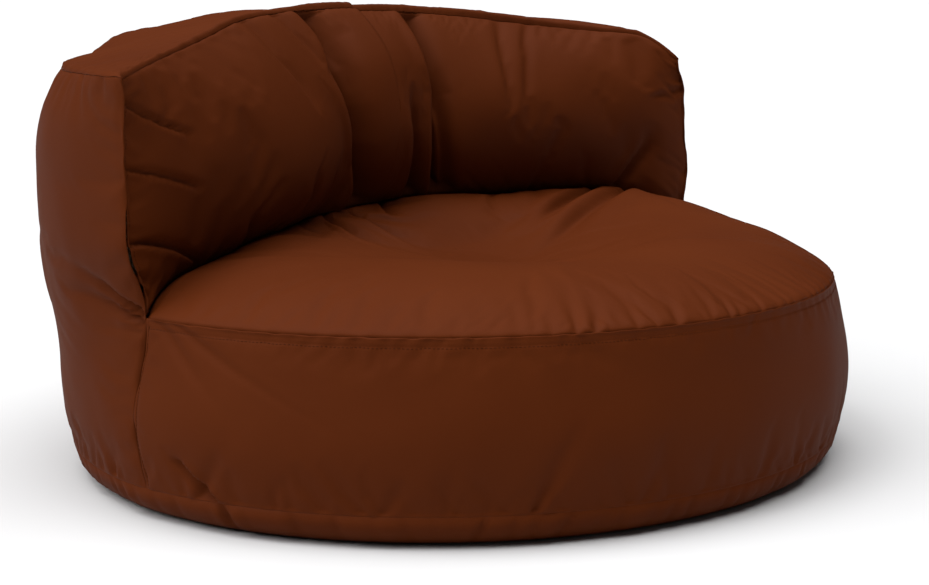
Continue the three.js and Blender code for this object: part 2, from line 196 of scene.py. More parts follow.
# ---- Relief: folds and puckers, as heights along the cloth's outward normal ----
def puckers(along, away, seed, pitch, depth, reach, slant=0.0, where=None):
    """Creases that run away from a seam, at uneven places; where(position) scales them."""
    rng = np.random.default_rng(seed)
    out = np.zeros_like(along)
    for i in range(int(along.max() / pitch) + 1):
        centre = (i + rng.uniform(-0.4, 0.4)) * pitch
        width, lean = rng.uniform(0.0035, 0.0085), slant + rng.normal(0, 0.3)
        height, length = depth * rng.lognormal(0, 0.45), reach * rng.uniform(0.45, 1.5)
        if where is not None:
            height = height * where(centre)
        if height < 2e-4:
            continue
        across = (along - centre - lean * away) / (width + 0.16 * away)
        valley = np.exp(-(across**2)) - 0.35 * np.exp(-((across / 2.2) ** 2))
        out -= height * valley * np.exp(-((away / length) ** 1.4))
    return out


def crease(x, y, points, depth, left, right, fade=0.25, lip=0.25):
    """A fold along a line of (x, y) points, with its own width on each side and a raised lip on the steep
    one. The line runs with y; left is the side with the smaller x."""
    points = np.array(sorted(points, key=lambda p: p[1]))
    centre = np.interp(y, points[:, 1], points[:, 0])
    low, high = points[0, 1], points[-1, 1]
    span = high - low
    along = ease((y - low) / (fade * span) + 0.5) * ease((high - y) / (fade * span) + 0.5)
    q = x - centre
    valley = np.where(q < 0, bell(q, left), bell(q, right))
    ridge = bell(q + 2.1 * left, 1.4 * left) if left < right else bell(q - 2.1 * right, 1.4 * right)
    return depth * along * (lip * ridge - valley)


# ---- Panels ----
class Panel:
    """A sheet over a grid of (p, q), each from 0 to 1. surface(p, q) gives its smooth shape, and relief(p, q,
    along, sides) its folds. edges maps a side to the direction in which its seam is drawn in."""

    def __init__(self, name, surface, size, edges, relief, stitched=(), flip=False, disc=False):
        self.name, self.surface, self.size = name, surface, size
        self.edges, self.relief, self.flip, self.disc = edges, relief, flip, disc
        self.stitched = dict(stitched)  # side: distance of its topstitching

    def axes(self, step, seams):
        """Grid lines step apart, closer together beside the seams."""
        lines = []
        for axis, length in enumerate(self.size):
            n = max(8, round(length / step))
            u = np.linspace(0, 1, n + 1)
            if seams and not self.disc:
                ends = []
                for side in ("pq"[axis] + "0", "pq"[axis] + "1"):
                    near = [0.0, 0.0012, 0.0024, 0.0038, 0.0056, 0.008] if self.edges.get(side) else [0.0]
                    if side in self.stitched:
                        near = [d for d in near if d < self.stitched[side] - 0.002]
                        near += [self.stitched[side] + d for d in (-0.0014, 0.0, 0.0014, 0.003)]
                    ends.append(np.array(near) / length)
                low, high = ends
                kept = u[(u > low[-1] + 0.003 / length) & (u < 1 - high[-1] - 0.003 / length)]
                u = np.concatenate([low, kept, 1 - high[::-1]])
            lines.append(u)
        return lines

    def measure(self, points, p, q):
        """Distances in metres: along the panel, and from each of its sides."""
        def run(axis):
            steps = np.linalg.norm(np.diff(points, axis=axis), axis=-1)
            zero = np.zeros_like(np.take(steps, [0], axis=axis))
            return np.concatenate([zero, np.cumsum(steps, axis=axis)], axis=axis)
        along, across = run(0), run(1)
        if self.disc:
            return along, {"rim": disc_gap(p, q)}
        mid = np.broadcast_to(along[:, along.shape[1] // 2][:, None], along.shape)
        return mid, {"p0": along, "p1": along[-1:] - along, "q0": across, "q1": across[:, -1:] - across}

    def normals(self, points):
        n = unit(np.cross(np.gradient(points, axis=0), np.gradient(points, axis=1)))
        return -n if self.flip else n

    def shape(self, p, q, moved=None):
        """The panel's smooth form and its normals, and its points with relief, the cloth simulation's
        movement and its drawn-in seams."""
        points = self.surface(p, q)
        along, sides = self.measure(points, p, q)
        normal = self.normals(points)
        hold = 1.0
        for side in self.edges:
            hold = hold * ease(sides[side] / 0.006)
        height = self.relief(p, q, along, sides)
        for side, distance in self.stitched.items():
            height = height - 0.0008 * bell(sides[side] - distance, 0.0017)
        out = points + normal * (height * hold)[..., None]
        if moved is not None:
            out = out + moved * hold[..., None]
        sink, weight = 0.0, 1e-9
        for side, direction in self.edges.items():
            share = np.exp(-sides[side] / 0.0032) - 0.12 * bell(sides[side] - 0.014, 0.008)
            place, inward = direction(points)
            uneven = 1 + (0.9 * wave(place, 6, 0.11) if side[0] == "p" else 0.35 * wave(place, 5, 0.05))
            sink = sink + share[..., None] * inward * uneven[..., None]
            weight = weight + np.maximum(share, 0)
        if self.edges:
            out = out + 0.0034 * sink / np.maximum(1, weight)[..., None]
        return points, normal, out


def disc_gap(p, q):
    """How far a point of a disc panel lies from its outline, in metres."""
    a, b = 2 * p - 1, 2 * q - 1
    return (1 - np.maximum(np.abs(a), np.abs(b))) * 0.45


def disc_polar(p, q):
    """Square to disc, with even cells: (radius from 0 to 1, angle)."""
    a, b = 2 * p - 1, 2 * q - 1
    big = np.where(np.abs(a) > np.abs(b), a, b)
    with np.errstate(divide="ignore", invalid="ignore"):
        first = PI / 4 * b / a
        second = PI / 2 - PI / 4 * a / b
    angle = np.where(np.abs(a) > np.abs(b), first, second)
    angle = np.where((a == 0) & (b == 0), 0.0, angle)
    return np.abs(big), np.where(big < 0, angle + PI, angle)


# Directions in which each seam is drawn in, with a place along the seam for its unevenness.
def ring_place(points):
    return 0.6 * np.arctan2(points[..., 1], points[..., 0])


def radial(points):
    out = points.copy()
    out[..., 2] = 0
    return unit(out)


def drawn(out_share, up_share, level=False):
    def direction(points):
        inward = -out_share * radial(points)
        inward[..., 2] -= up_share
        place = points[..., 2] if level else ring_place(points)
        return place, inward
    return direction


rim_seam = drawn(0.75, 0.65)
base_seam = drawn(0.25, -0.15)
outer_top_seam = drawn(0.7, 0.7)
tip_seam = drawn(1.0, 0.0, level=True)


def inner_top_seam(points):
    inward = np.zeros_like(points)
    inward[..., 1], inward[..., 2] = 0.6, -0.8
    return ring_place(points), inward


def crease_seam(points):
    inward = np.zeros_like(points)
    inward[..., 1], inward[..., 2] = 2.2, -2.2
    return ring_place(points), inward


# Seat
def seat_edge(t):
    return np.where(np.sin(t) > 1e-9, np.minimum(rim(t), front_share(np.abs(t), 0.0)), rim(t))


HUB_Y = -0.17


def seat_surface(p, q):
    """Rays from a hub in front of the middle, so that the cells stay even up to the crease."""
    rho, turn = disc_polar(p, q)
    # The outline as seen from the hub: a table of its points by their direction.
    t = np.linspace(-PI, PI, 1441)
    x, y = plan(t, seat_edge(t))
    bearing = np.unwrap(np.arctan2(y - HUB_Y, x))
    reach = np.hypot(x, y - HUB_Y)
    turn = (turn - bearing[0]) % (2 * PI) + bearing[0]
    far = np.interp(turn, bearing, reach)
    px, py = rho * far * np.cos(turn), HUB_Y + rho * far * np.sin(turn)
    angle = np.arctan2(py / np.where(py < 0, DEPTH_FRONT, DEPTH_REAR), px / HALF_WIDTH)
    share = np.hypot(px / HALF_WIDTH, py / np.where(py < 0, DEPTH_FRONT, DEPTH_REAR))
    return np.stack([px, py, seat_height(angle, share)], axis=-1)


def seat_relief(p, q, along, sides):
    points = seat_surface(p, q)
    x, y = points[..., 0], points[..., 1]
    gap = sides["rim"]
    t = np.arctan2(y, x) % (2 * PI)
    front = t > PI
    place = np.where(front, (t - PI) * ARC, 0.0)
    def strong(c):
        a = math.degrees(c / ARC) + 180
        return 0.15 + 0.85 * float(ease((a - 228) / 12) * ease((318 - a) / 20))
    out = np.where(front, puckers(place, gap, 11, 0.027, 0.0030, 0.045, 0.0, strong), 0.0)
    # Folds that a sitter has left, from the crease towards the dip.
    for x0, y0, x1, y1, depth, narrow, wide in (
        (-0.118, 0.150, -0.150, -0.075, 0.017, 0.0062, 0.020),
        (-0.062, 0.155, -0.050, -0.025, 0.012, 0.0058, 0.015),
        (0.015, 0.170, 0.000, 0.085, 0.008, 0.0060, 0.012),
        (-0.190, 0.140, -0.165, 0.085, 0.006, 0.0055, 0.011),
        (0.410, 0.070, 0.160, -0.028, 0.012, 0.0075, 0.016),
        (0.450, 0.032, 0.065, -0.118, 0.018, 0.0100, 0.026),
        (0.215, 0.120, 0.150, 0.030, 0.003, 0.0080, 0.014),
    ):
        length = math.hypot(x1 - x0, y1 - y0)
        ax, ay = (x1 - x0) / length, (y1 - y0) / length
        f = ((x - x0) * ax + (y - y0) * ay) / length
        d = (x - x0) * -ay + (y - y0) * ax + 0.012 * np.sin(3 * f)
        spread = 0.5 + 0.9 * np.clip(f, 0, 1)
        valley = np.where(d < 0, bell(d, narrow * spread), bell(d, wide * spread))
        ridge = bell(d + 2.3 * narrow * spread, 1.6 * narrow * spread)
        out += depth * ease(f / 0.15 + 1) * ease((1.05 - f) / 0.6) * (0.4 * ease(f / 0.3) * ridge - valley)
    # Long soft undulations.
    out += 0.0026 * ripple(x, y, 21, 0.22) * ease(gap / 0.06)
    return out


def seat_rim_direction(points):
    """The seat's outline is the rim seam in front and the crease behind."""
    rear = ease((points[..., 1] + 0.01) / 0.03)[..., None]
    place, front_in = rim_seam(points)
    _, rear_in = crease_seam(points)
    return place, lerp(front_in, rear_in, rear)


# Front side panel: p runs from the left end (t = 180 degrees) round the front.
def skewed(z):
    """How far, as an angle, the left upright seam strays towards the rear."""
    return 0.020 * bell(z - 0.14, 0.07)


def side_surface(p, q):
    z = lerp(BASE_Z, RIM_Z, q)
    t = PI + PI * p - skewed(z) * (1 - p) ** 6
    return at(t, wall(t, z), z)


def side_relief(p, q, along, sides):
    low, high = sides["q0"], sides["q1"]
    def strong_high(c):
        a = 180 * c / 1.83
        near_left, rest = float(ease((a - 18) / 12) * ease((66 - a) / 14)), float(ease((a - 70) / 10))
        return 0.12 + 0.9 * near_left + 0.35 * rest
    out = puckers(along, high, 31, 0.024, 0.0024, 0.030, 0.0, strong_high)
    out += puckers(along, low, 32, 0.040, 0.0034, 0.042, -0.35)
    out += puckers(along, low, 33, 0.11, 0.0034, 0.055, 0.5)
    # Slanting tension folds by the ends, from the corner where four panels meet.
    for c, slope, depth, width in ((0.02, 1.25, 0.004, 0.014), (0.05, 2.1, 0.003, 0.012)):
        for end in (along, along.max() - along):
            d = end - c - slope * high
            out -= depth * bell(d, width) * np.exp(-((high / 0.09) ** 2))
    out += crease(along, low, [(0.125, 0.0), (0.075, 0.05)], 0.010, 0.010, 0.006)
    out += 0.0028 * ripple(along, low, 34, 0.27) * np.sin(PI * q)
    return out


# Outer back panel: p runs from the right end (t = 0) round the rear.
def over_zip(t, zip_):
    reach = (DEPTH_REAR - ZIP_AXIS_Y) * math.sin(zip_["half"]) + 0.006
    x = np.abs(plan(t, 1)[0])
    return 1 - ease((x - reach) / 0.010)


def back_surface(p, q):
    t = PI * p
    foot = lerp(BASE_Z, SEAT_ZIP["z"] + ZIP_MOUTH, over_zip(t, SEAT_ZIP))
    head = lerp(outer_seam_z(t), BACK_ZIP["z"] - ZIP_MOUTH, over_zip(t, BACK_ZIP))
    z = lerp(foot, head, q)
    t = t - skewed(z) * p**6
    return at(t, wall(t, z), z)


def back_relief(p, q, along, sides):
    low, high = sides["q0"], sides["q1"]
    length = along.max()
    z = back_surface(p, q)[..., 2]
    out = puckers(along, low, 41, 0.034, 0.0022, 0.040, 0.3)
    out += puckers(along, low, 42, 0.10, 0.0040, 0.10, -0.4)
    out += puckers(along, high, 43, 0.045, 0.0022, 0.040)
    for end, seed in ((sides["p0"], 44), (sides["p1"], 45)):
        # Small creases beside the upright seam, and the pull of the corner at the seat's rim.
        out += puckers(z, end, seed, 0.045, 0.0020, 0.030)
        for z0, slope, depth, width, reach in (
            (RIM_Z + 0.002, 0.50, 0.016, 0.0085, 0.090),
            (RIM_Z - 0.008, 0.30, 0.014, 0.0075, 0.080),
            (RIM_Z - 0.020, 0.05, 0.004, 0.009, 0.060),
        ):
            d = z - z0 - slope * end + 0.8 * end**2
            pull = depth * bell(d, width * (0.45 + 5 * end)) * np.exp(-((end / reach) ** 2))
            out -= pull * ease(end / 0.012 + 0.3)
    waist = bell(z - 0.285, 0.05)
    out += waist * 0.004 * wave(along, 46, 0.16)
    out += (0.0045 * ripple(along, z, 47, 0.38) + 0.0016 * ripple(along, z, 48, 0.14)) * np.sin(PI * q)
    # A few loose diagonal folds at the waist, where the two chambers meet.
    for c, slope, depth in ((0.20, 1.0, 0.005), (0.47, -1.2, 0.006), (0.80, 0.9, 0.005),
                            (1.12, -0.9, 0.006), (1.42, 1.1, 0.005)):
        d = along - c * length / 1.8 - slope * (z - 0.29)
        out -= depth * bell(d, 0.013) * bell(z - 0.29, 0.07)
    return out


# Backrest front: p runs from the left end (t = 180 degrees) to the right end, q from the crease to the seam.
def face_surface(p, q):
    t = PI * (1 - p)
    foot = seat_height(t, front_share(t, 0.0))
    return at(t, front_share(t, q), lerp(foot, inner_seam_z(t), q))


def face_relief(p, q, along, sides):
    low, high, first, last = sides["q0"], sides["q1"], sides["p0"], sides["p1"]
    x = along
    deg = 180 * (1 - p[:, 0])
    run = along[:, 0]
    def to_run(a):
        return float(np.interp(-a, -deg, run))
    def fold(*table):
        return [(to_run(a), w) for a, w in table]
    # Pillows between the folds.
    out = 0.0
    round_over = np.clip(4 * q * (1 - q), 0, 1)
    for a, b, lift in ((180, 120, 0.034), (120, 60, 0.024), (60, 0, 0.034)):
        u = np.clip((x - to_run(a)) / (to_run(b) - to_run(a)), 0, 1)
        out = out + lift * np.sin(PI * u) ** 0.8 * round_over
    # Two deep pleats, each steep on its left and open on its right, with smaller ones beside them.
    shallow_top = lerp(1.0, 0.45, ease((q - 0.75) / 0.25))
    for table, depth, narrow, wide in (
        (((108, -0.15), (110, 0.1), (120, 0.33), (123.7, 0.53), (123.4, 0.71), (120.4, 0.87), (120, 1.06)),
         0.036, 0.0085, 0.030),
        (((55, -0.15), (56.1, 0.08), (57.6, 0.39), (57.2, 0.56), (60.4, 0.7), (62.9, 0.85), (66.5, 1.06)),
         0.030, 0.0075, 0.019),
    ):
        out += shallow_top * crease(x, q, fold(*table), depth, narrow, wide, 0.16, 0.22)
    for table, depth, narrow, wide in (
        (((107.5, -0.1), (109.3, 0.1), (119.2, 0.33), (122.8, 0.53), (122.4, 0.71), (119.6, 0.87)),
         0.034, 0.0050, 0.0085),
        (((54.4, -0.1), (55.5, 0.08), (57.0, 0.39), (56.6, 0.56), (59.8, 0.7), (62.2, 0.87)),
         0.034, 0.0050, 0.0085),
        (((48.5, -0.1), (49.2, 0.07), (51.5, 0.44), (53.2, 0.6)), 0.013, 0.0060, 0.012),
        (((67, -0.15), (68, 0.1), (73.5, 0.38), (76, 0.5)), 0.020, 0.0100, 0.013),
        (((114, 0.66), (116, 0.92), (117, 1.05)), 0.005, 0.0070, 0.010),
        (((55.5, 0.66), (58.5, 0.8), (61, 0.96)), 0.006, 0.0060, 0.010),
        (((144, 0.6), (145.5, 0.83), (144, 1.05)), 0.005, 0.0070, 0.014),
        (((128, 0.62), (130, 0.8), (133, 1.05)), 0.005, 0.0070, 0.014),
        (((28.8, 0.55), (31.7, 0.84), (33, 1.05)), 0.0035, 0.0090, 0.013),
        (((24.6, 0.5), (25.4, 0.85), (26, 1.05)), 0.0030, 0.0090, 0.012),
        (((8.5, -0.05), (6.5, 0.09), (4.7, 0.27), (4.2, 0.35)), 0.011, 0.0080, 0.014),
        (((162.3, -0.1), (162.6, 0.06), (164, 0.16)), 0.014, 0.0090, 0.015),
        (((148, -0.1), (148.5, 0.08), (150, 0.22)), 0.013, 0.0090, 0.013),
        (((137, -0.1), (136, 0.08), (135, 0.2)), 0.005, 0.0090, 0.013),
        (((173.0, 0.66), (176.8, 0.79), (180, 0.92)), 0.009, 0.0065, 0.010),
        (((173.4, 0.42), (177.2, 0.54), (180, 0.63)), 0.009, 0.0065, 0.010),
        (((171.0, 0.03), (174.2, 0.12), (178.3, 0.26), (180, 0.31)), 0.015, 0.0080, 0.014),
        (((3.5, 0.62), (1.5, 0.7), (0, 0.8)), 0.006, 0.0080, 0.010),
    ):
        out += crease(x, q, fold(*table), depth, narrow, wide, 0.45)
    out += puckers(x, high, 51, 0.045, 0.0013, 0.026)
    out += puckers(x, low, 52, 0.050, 0.0035, 0.040)
    # Pinched creases beside the upright seams, and the cloth bunched at their feet.
    for end, seed in ((first, 53), (last, 54)):
        out += puckers(high, end, seed, 0.048, 0.0030, 0.034, 0.45)
        corner = np.exp(-(np.hypot(end, low) / 0.045) ** 2)
        for slope, depth in ((0.5, 0.006), (1.3, 0.006), (3.0, 0.005)):
            out -= depth * bell(low - slope * end - 0.006, 0.005 + 0.10 * end) * corner
    return out + 0.0018 * ripple(x, low, 55, 0.16) * np.sin(PI * np.clip(q, 0, 1))


TOP_CROWN = [(0, 0), (5, 0.011), (12, 0.0185), (22, 0.0245), (37, 0.029), (50, 0.025), (60, 0.022),
             (75, 0.0185), (88, 0.015), (101, 0.014), (120, 0.011), (150, 0.009), (170, 0.005),
             (180, 0)]  # (degrees, height)


# Backrest top: p from the right end round the rear, q from the inner to the outer seam.
def top_surface(p, q):
    t = PI * p
    inner, outer = front_share(t, 1.0), wall(t, outer_seam_z(t))
    crown = curve(np.degrees(t), TOP_CROWN, 4.0) * q**0.85 * (1 - q) ** 1.1 / 0.262
    return at(t, lerp(inner, outer, q), lerp(inner_seam_z(t), outer_seam_z(t), q) + crown)


def top_relief(p, q, along, sides):
    low, high = sides["q0"], sides["q1"]
    out = puckers(along, low, 61, 0.050, 0.0010, 0.026)
    out += puckers(along, high, 62, 0.046, 0.0018, 0.030)
    return out + 0.0020 * ripple(along, low, 63, 0.30) * np.sin(PI * q) * np.sin(PI * p)


# Base
def base_surface(p, q):
    rho, turn = disc_polar(p, q)
    edge = wall(turn, BASE_Z)
    s = rho * edge
    rise = np.clip((s - BASE_FLAT) / (edge - BASE_FLAT), 0, None)
    return at(turn, s, BASE_Z * (1 - np.sqrt(1 - 0.98 * np.minimum(rise, 1) ** 2)) / (1 - math.sqrt(0.02)))


def base_relief(p, q, along, sides):
    points = base_surface(p, q)
    place = np.arctan2(points[..., 1], points[..., 0]) % (2 * PI) * ARC
    lifted = ease(points[..., 2] / 0.03)
    out = puckers(place, sides["rim"], 71, 0.04, 0.0038, 0.05) * lifted
    return out + 0.002 * wave(place, 72, 0.2) * lifted


PANELS = [
    Panel("seat_top_panel", seat_surface, (1.12, 0.84), {"rim": seat_rim_direction}, seat_relief, disc=True),
    Panel("front_side_panel", side_surface, (1.83, 0.225),
          {"q0": base_seam, "q1": rim_seam, "p0": tip_seam, "p1": tip_seam}, side_relief,
          {"q1": 0.013, "p0": 0.006, "p1": 0.006}),
    Panel("outer_back_panel", back_surface, (1.85, 0.56),
          {"q0": base_seam, "q1": outer_top_seam, "p0": tip_seam, "p1": tip_seam}, back_relief),
    Panel("backrest_front_panel", face_surface, (1.34, 0.33),
          {"q0": crease_seam, "q1": inner_top_seam, "p0": tip_seam, "p1": tip_seam}, face_relief,
          {"p0": 0.006, "p1": 0.006}),
    Panel("backrest_top_panel", top_surface, (1.70, 0.37),
          {"q0": inner_top_seam, "q1": outer_top_seam}, top_relief),
    Panel("base_panel", base_surface, (1.15, 1.08), {"rim": base_seam}, base_relief, flip=True, disc=True),
]
FINE = {"seat_top_panel": 0.005, "front_side_panel": 0.0048, "outer_back_panel": 0.006,
        "backrest_front_panel": 0.004, "backrest_top_panel": 0.0065, "base_panel": 0.0065}


# ---- Meshes ----
def linked(name, data):
    obj = bpy.data.objects.new(name, data)
    bpy.context.scene.collection.objects.link(obj)
    return obj


def mesh_object(name, points, faces, smooth=True):
    mesh = bpy.data.meshes.new(name)
    mesh.from_pydata([tuple(p) for p in points], [], faces)
    mesh.validate()
    mesh.update()
    if smooth:
        mesh.shade_smooth()
    return linked(name, mesh)


def grid_faces(n, m, flip=False):
    i, j = np.meshgrid(np.arange(n - 1), np.arange(m - 1), indexing="ij")
    a = (i * m + j).ravel()
    quads = np.stack([a, a + m, a + m + 1, a + 1], axis=1)
    return (quads[:, ::-1] if flip else quads).tolist()


def grid_object(name, points, flip):
    n, m = points.shape[:2]
    return mesh_object(name, points.reshape(-1, 3), grid_faces(n, m, flip))


def cut(field, u, v):
    """A grid of values read at fractions (u, v) by cubic interpolation."""
    def weights(x, n):
        f = x * (n - 1)
        i = np.clip(np.floor(f).astype(int), 0, n - 2)
        r = f - i
        w = [(-r + 2 * r**2 - r**3) / 2, (2 - 5 * r**2 + 3 * r**3) / 2,
             (r + 4 * r**2 - 3 * r**3) / 2, (r**3 - r**2) / 2]
        return [(np.clip(i + k - 1, 0, n - 1), w[k]) for k in range(4)]
    rows = sum(field[i] * w[:, None, None] for i, w in weights(u, field.shape[0]))
    return sum(rows[:, j] * w[None, :, None] for j, w in weights(v, field.shape[1]))


def smoothed(field, times):
    """The slow part of a grid of values."""
    out = field.copy()
    for _ in range(times):
        pad = np.pad(out, ((1, 1), (1, 1), (0, 0)), mode="edge")
        out = (pad[:-2, 1:-1] + pad[2:, 1:-1] + pad[1:-1, :-2] + pad[1:-1, 2:] + 2 * out) / 6
    return out


SIM_STEP, SIM_FRAMES = 0.0085, 24
# Each simulated panel, with how far the simulation may move a point of it.
SIMULATED = {"seat_top_panel": 0.012, "front_side_panel": 0.014, "outer_back_panel": 0.014,
             "backrest_front_panel": 0.014, "backrest_top_panel": 0.012}


def simulate(panels):
    """Blows each sewn panel out against its seams as slightly oversized cloth, which buckles into the small
    folds of a filled cover. Gives each panel's movement on its own coarse grid."""
    made = {}
    for panel in panels:
        u, v = panel.axes(SIM_STEP, False)
        p, q = np.meshgrid(u, v, indexing="ij")
        start = panel.shape(p, q)[2]
        obj = grid_object("cloth_" + panel.name, start, panel.flip)
        _, sides = panel.measure(start, p, q)
        gap = np.full(p.shape, 1.0)
        for side in panel.edges:
            gap = np.minimum(gap, sides[side])
        pin, grow = obj.vertex_groups.new(name="pin"), obj.vertex_groups.new(name="grow")
        held = np.clip(1 - gap / (1.1 * SIM_STEP), 0, 1).ravel()
        for i in np.nonzero(held > 0.01)[0]:
            pin.add([int(i)], 1.0, "REPLACE")
        near = np.round(np.exp(-((gap / 0.07) ** 2)).ravel(), 2)
        for value in np.unique(near):
            grow.add(np.nonzero(near == value)[0].tolist(), float(value), "REPLACE")
        cloth = obj.modifiers.new("cloth", "CLOTH")
        s = cloth.settings
        s.quality, s.mass = 4, 0.15
        s.tension_stiffness = s.compression_stiffness = 25
        s.shear_stiffness, s.bending_stiffness = 8, 0.25
        s.tension_damping = s.compression_damping = s.shear_damping = 12
        s.air_damping = 4
        s.vertex_group_mass, s.vertex_group_shrink = "pin", "grow"
        s.shrink_min, s.shrink_max = -0.006, -0.032
        s.use_pressure, s.uniform_pressure_force = True, 2.5
        s.effector_weights.gravity = 0
        cloth.collision_settings.use_collision = False
        cloth.point_cache.frame_start, cloth.point_cache.frame_end = 1, SIM_FRAMES
        made[panel.name] = (obj, start, u, v)
    for number in range(1, SIM_FRAMES + 1):
        bpy.context.scene.frame_set(number)
    graph = bpy.context.evaluated_depsgraph_get()
    moves = {}
    for name, (obj, start, u, v) in made.items():
        mesh = obj.evaluated_get(graph).to_mesh()
        co = np.zeros(len(mesh.vertices) * 3)
        mesh.vertices.foreach_get("co", co)
        moved = co.reshape(start.shape) - start
        moved -= 0.85 * smoothed(moved, 60)  # the chair's own form already holds the slow bulge
        size = np.linalg.norm(moved, axis=-1, keepdims=True)
        cap = SIMULATED[name]
        moves[name] = moved * (cap * np.tanh(size / cap) / np.maximum(size, 1e-9))
        bpy.data.objects.remove(obj)
    bpy.context.scene.frame_set(1)
    return moves


# ---- Materials ----
def feed(node, inputs):
    """Links or sets a node's inputs."""
    for key, value in dict(inputs).items():
        if isinstance(value, bpy.types.NodeSocket):
            node.id_data.links.new(value, node.inputs[key])
        else:
            node.inputs[key].default_value = value
    return node


def node_material(name):
    material = bpy.data.materials.new(name)
    material.use_nodes = True
    tree = material.node_tree
    def add(kind, inputs=(), **settings):
        node = tree.nodes.new(kind)
        for key, value in settings.items():
            setattr(node, key, value)
        return feed(node, inputs)
    return material, tree.nodes["Principled BSDF"], add


def ramp(add, factor, stops):
    node = add("ShaderNodeValToRGB", {"Fac": factor})
    for element, (place, colour) in zip(node.color_ramp.elements, stops):
        element.position, element.color = place, (*colour, 1)
    return node.outputs["Color"]


def noise(add, place, scale, detail):
    return add("ShaderNodeTexNoise", {"Vector": place, "Scale": scale, "Detail": detail}).outputs["Fac"]


def cover_material():
    """Satin coated polyester: a fine plain weave and faint shade changes."""
    material, shader, add = node_material("cover_cloth")
    place = add("ShaderNodeTexCoord").outputs["Object"]
    uv = add("ShaderNodeUVMap", uv_map="cut").outputs["UV"]
    slow, fine = noise(add, place, 5.0, 3.0), noise(add, place, 260.0, 3.0)
    base = ramp(add, slow, [(0.30, (0.074, 0.0128, 0.0008)), (0.70, (0.082, 0.0148, 0.0012))])
    threads = [add("ShaderNodeTexWave", {"Vector": uv, "Scale": 520.0, "Distortion": 0.4, "Detail": 1.0},
                   wave_type="BANDS", bands_direction=direction).outputs["Fac"] for direction in "XY"]
    weave = add("ShaderNodeMath", {0: threads[0], 1: threads[1]}, operation="MULTIPLY").outputs[0]
    tone = add("ShaderNodeMix", {"Factor": weave, "A": base, "B": (0.92, 0.91, 0.90, 1)},
               data_type="RGBA", blend_type="MULTIPLY")
    rough = add("ShaderNodeMapRange", {"Value": slow, "To Min": 0.66, "To Max": 0.74}).outputs["Result"]
    bump = add("ShaderNodeBump", {"Height": weave, "Strength": 0.10, "Distance": 0.0003})
    grain = add("ShaderNodeBump", {"Height": fine, "Strength": 0.06, "Distance": 0.0006,
                                   "Normal": bump.outputs["Normal"]})
    feed(shader, {"Base Color": tone.outputs["Result"], "Roughness": rough,
                  "Normal": grain.outputs["Normal"], "Specular IOR Level": 0.07})
    return material


def cloth_material(name, colours, scale, roughness):
    """A plain woven cloth or tape."""
    material, shader, add = node_material(name)
    place = add("ShaderNodeTexCoord").outputs["Object"]
    lines = [add("ShaderNodeTexWave", {"Vector": place, "Scale": scale}, bands_direction=d).outputs["Fac"]
             for d in "XZ"]
    weave = add("ShaderNodeMath", {0: lines[0], 1: lines[1]}, operation="ADD").outputs[0]
    bump = add("ShaderNodeBump", {"Height": weave, "Strength": 0.3, "Distance": 0.0003})
    colour = ramp(add, noise(add, place, 40.0, 4.0), [(0.3, colours[0]), (0.7, colours[1])])
    feed(shader, {"Base Color": colour, "Roughness": roughness, "Normal": bump.outputs["Normal"],
                  "Specular IOR Level": 0.15})
    return material


def bead_material():
    """Loose white expanded polystyrene beads, a few millimetres across, with painted shade in the gaps
    between them.
    """
    material, shader, add = node_material("bead_fill")
    place = add("ShaderNodeTexCoord").outputs["Object"]
    middle = add("ShaderNodeTexVoronoi", {"Vector": place, "Scale": 260.0}).outputs["Distance"]
    bump = add("ShaderNodeBump", {"Height": middle, "Strength": 1.0, "Distance": 0.002}, invert=True)
    # Colour from white at each bead's middle to grey towards the gaps between beads: painted shade.
    colour = ramp(add, middle, [(0.0, (0.92, 0.92, 0.91)), (0.9, (0.60, 0.60, 0.59))])
    feed(shader, {"Base Color": colour, "Roughness": 0.75, "Normal": bump.outputs["Normal"]})
    return material


def metal_material():
    """Dark lacquered zinc, with a mottled shine."""
    material, shader, add = node_material("zip_metal")
    mottle = noise(add, add("ShaderNodeTexCoord").outputs["Object"], 900.0, 4.0)
    colour = ramp(add, mottle, [(0.4, (0.030, 0.016, 0.010)), (0.75, (0.075, 0.048, 0.034))])
    rough = add("ShaderNodeMapRange", {"Value": mottle, "To Min": 0.25, "To Max": 0.45}).outputs["Result"]
    feed(shader, {"Base Color": colour, "Roughness": rough, "Metallic": 0.8})
    return material


def thread_material():
    material, shader, add = node_material("thread")
    mottle = noise(add, add("ShaderNodeTexCoord").outputs["Object"], 1400.0, 2.0)
    colour = ramp(add, mottle, [(0.3, (0.040, 0.008, 0.001)), (0.7, (0.062, 0.012, 0.002))])
    feed(shader, {"Base Color": colour, "Roughness": 0.7, "Specular IOR Level": 0.05})
    return material


COVER = cover_material()
LINING = cloth_material("lining_cloth", [(0.66, 0.63, 0.56), (0.80, 0.77, 0.70)], 300.0, 0.85)
TAPE = cloth_material("zip_tape", [(0.030, 0.010, 0.004), (0.050, 0.017, 0.007)], 400.0, 0.7)
BEADS, METAL, THREAD = bead_material(), metal_material(), thread_material()


def finished(obj, material, body="chair", replaces=()):
    """Gives a piece its material, slot and body, and hides the frame's nodes that it stands for."""
    obj.data.materials.clear()
    obj.data.materials.append(material)
    if replaces:
        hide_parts(*replaces)
    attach(obj, body)
    return obj


def apply_modifiers(obj):
    graph = bpy.context.evaluated_depsgraph_get()
    mesh = bpy.data.meshes.new_from_object(obj.evaluated_get(graph), depsgraph=graph)
    obj.modifiers.clear()
    old, obj.data = obj.data, mesh
    mesh.name = old.name
    bpy.data.meshes.remove(old)
    return obj


